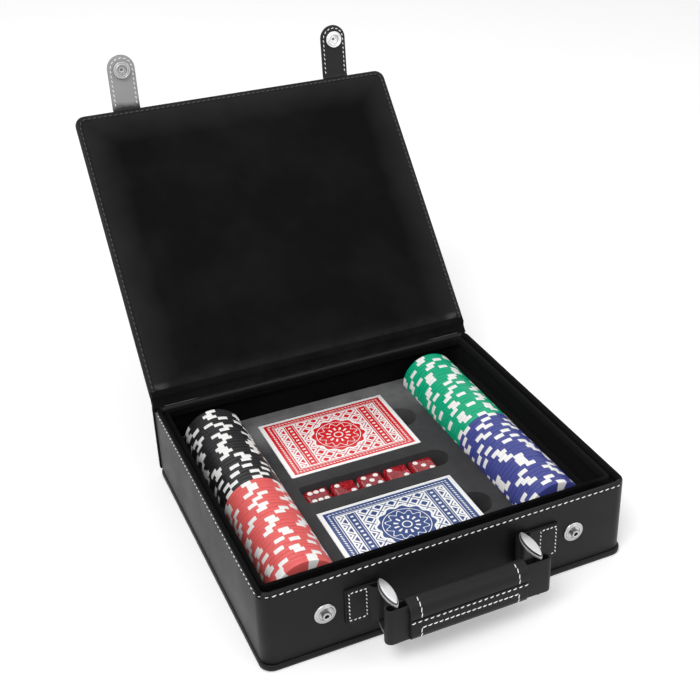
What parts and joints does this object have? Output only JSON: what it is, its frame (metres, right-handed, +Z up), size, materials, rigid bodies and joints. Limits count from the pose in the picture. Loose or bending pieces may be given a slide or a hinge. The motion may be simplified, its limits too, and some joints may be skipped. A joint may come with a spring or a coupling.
{
  "type": "poker set case",
  "caption": "Small leather-look carry case, lid open, with straps that snap shut, a ringed handle and a foam tray of chips, cards and dice.",
  "frame": {"origin": "middle of the tray's width and depth, on the underside of the base", "axes": "+X to the right along the front edge, +Y from the front to the hinge, +Z up"},
  "size_m": [0.2314, 0.3758, 0.246],
  "materials": {
    "case_leather": "fine-grained black imitation leather, satin",
    "board": "plain fibreboard, hidden inside the covers",
    "lining": "short black flock",
    "foam": "flocked charcoal foam",
    "snap_metal": "bright nickel plate",
    "ring_metal": "bright nickel plate, brushed face",
    "chip_black": "moulded plastic, satin, white edge spots",
    "chip_red": "moulded plastic, satin, white edge spots",
    "chip_green": "moulded plastic, satin, white edge spots",
    "chip_blue": "moulded plastic, satin, white edge spots",
    "card_red": "coated card box, printed red and white",
    "card_blue": "coated card box, printed blue and white",
    "card_stock": "playing cards, white cut edges",
    "die_red": "clear red plastic with white pips"
  },
  "bodies": {
    "tray": {"base_cover": "case_leather", "base_board": "board", "wall_board_front": "board", "wall_board_back": "board", "wall_board_left": "board", "wall_board_right": "board", "tray_cover": "case_leather", "tray_lining": "lining", "foam_insert": "foam", "spine_board": "board", "spine_cover": "case_leather", "hinge_strip": "case_leather", "snap_stud_left": "snap_metal", "snap_stud_right": "snap_metal", "stud_rivet_left": "snap_metal", "stud_rivet_right": "snap_metal", "handle_tab_left": "case_leather", "handle_tab_right": "case_leather"},
    "lid": {"lid_cover": "case_leather", "lid_board": "board", "lid_lining": "lining"},
    "strap_left": {"closing_strap_left": "case_leather", "snap_cap_left": "snap_metal", "snap_socket_left": "snap_metal"},
    "strap_right": {"closing_strap_right": "case_leather", "snap_cap_right": "snap_metal", "snap_socket_right": "snap_metal"},
    "ring_left": {"handle_ring_left": "ring_metal"},
    "ring_right": {"handle_ring_right": "ring_metal"},
    "handle": {"handle_strap": "case_leather", "handle_core": "board", "handle_grip": "case_leather"},
    "black_stack": {"chips_black": "chip_black"},
    "red_stack": {"chips_red": "chip_red"},
    "green_stack": {"chips_green": "chip_green"},
    "blue_stack": {"chips_blue": "chip_blue"},
    "red_deck": {"card_box_red": "card_red", "card_deck_red": "card_stock"},
    "blue_deck": {"card_box_blue": "card_blue", "card_deck_blue": "card_stock"},
    "loose_die_1": {"die_1": "die_red"},
    "loose_die_2": {"die_2": "die_red"},
    "loose_die_3": {"die_3": "die_red"},
    "loose_die_4": {"die_4": "die_red"},
    "loose_die_5": {"die_5": "die_red"}
  },
  "joints": [
    {"name": "lid_hinge", "type": "hinge", "parent": "tray", "child": "lid", "pos_m": [0, 0.1019, 0.05585], "axis": [-1, 0, 0], "range_deg": [-132, 48], "deforming": ["hinge_strip"]},
    {"name": "strap_left_fold", "type": "hinge", "parent": "lid", "child": "strap_left", "pos_m": [-0.0784, 0.23947, 0.20864], "axis": [-1, 0, 0], "range_deg": [-44.5, 98]},
    {"name": "strap_right_fold", "type": "hinge", "parent": "lid", "child": "strap_right", "pos_m": [0.0784, 0.23947, 0.20864], "axis": [-1, 0, 0], "range_deg": [-44.5, 98]},
    {"name": "ring_left_swing", "type": "hinge", "parent": "tray", "child": "ring_left", "pos_m": [-0.047, -0.10515, 0.0287], "axis": [0, 0, 1], "range_deg": [-28, 28]},
    {"name": "ring_right_swing", "type": "hinge", "parent": "tray", "child": "ring_right", "pos_m": [0.041, -0.10515, 0.0287], "axis": [0, 0, 1], "range_deg": [-28, 28]},
    {"name": "handle_turn", "type": "hinge", "parent": "ring_left", "child": "handle", "pos_m": [-0.047, -0.12465, 0.0287], "axis": [0, 0, 1], "range_deg": [-28, 28]},
    {"name": "black_stack_lift", "type": "slide", "parent": "tray", "child": "black_stack", "axis": [0, 0, 1], "range_m": [0, 0.06]},
    {"name": "red_stack_lift", "type": "slide", "parent": "tray", "child": "red_stack", "axis": [0, 0, 1], "range_m": [0, 0.06]},
    {"name": "green_stack_lift", "type": "slide", "parent": "tray", "child": "green_stack", "axis": [0, 0, 1], "range_m": [0, 0.06]},
    {"name": "blue_stack_lift", "type": "slide", "parent": "tray", "child": "blue_stack", "axis": [0, 0, 1], "range_m": [0, 0.06]},
    {"name": "red_deck_lift", "type": "slide", "parent": "tray", "child": "red_deck", "axis": [0, 0, 1], "range_m": [0, 0.04]},
    {"name": "blue_deck_lift", "type": "slide", "parent": "tray", "child": "blue_deck", "axis": [0, 0, 1], "range_m": [0, 0.04]},
    {"name": "loose_die_1_lift", "type": "slide", "parent": "tray", "child": "loose_die_1", "axis": [0, 0, 1], "range_m": [0, 0.04]},
    {"name": "loose_die_2_lift", "type": "slide", "parent": "tray", "child": "loose_die_2", "axis": [0, 0, 1], "range_m": [0, 0.04]},
    {"name": "loose_die_3_lift", "type": "slide", "parent": "tray", "child": "loose_die_3", "axis": [0, 0, 1], "range_m": [0, 0.04]},
    {"name": "loose_die_4_lift", "type": "slide", "parent": "tray", "child": "loose_die_4", "axis": [0, 0, 1], "range_m": [0, 0.04]},
    {"name": "loose_die_5_lift", "type": "slide", "parent": "tray", "child": "loose_die_5", "axis": [0, 0, 1], "range_m": [0, 0.04]}
  ],
  "couplings": [
    {"joint": "ring_right_swing", "follows": "ring_left_swing", "ratio": 1},
    {"joint": "handle_turn", "follows": "ring_left_swing", "ratio": -1}
  ]
}
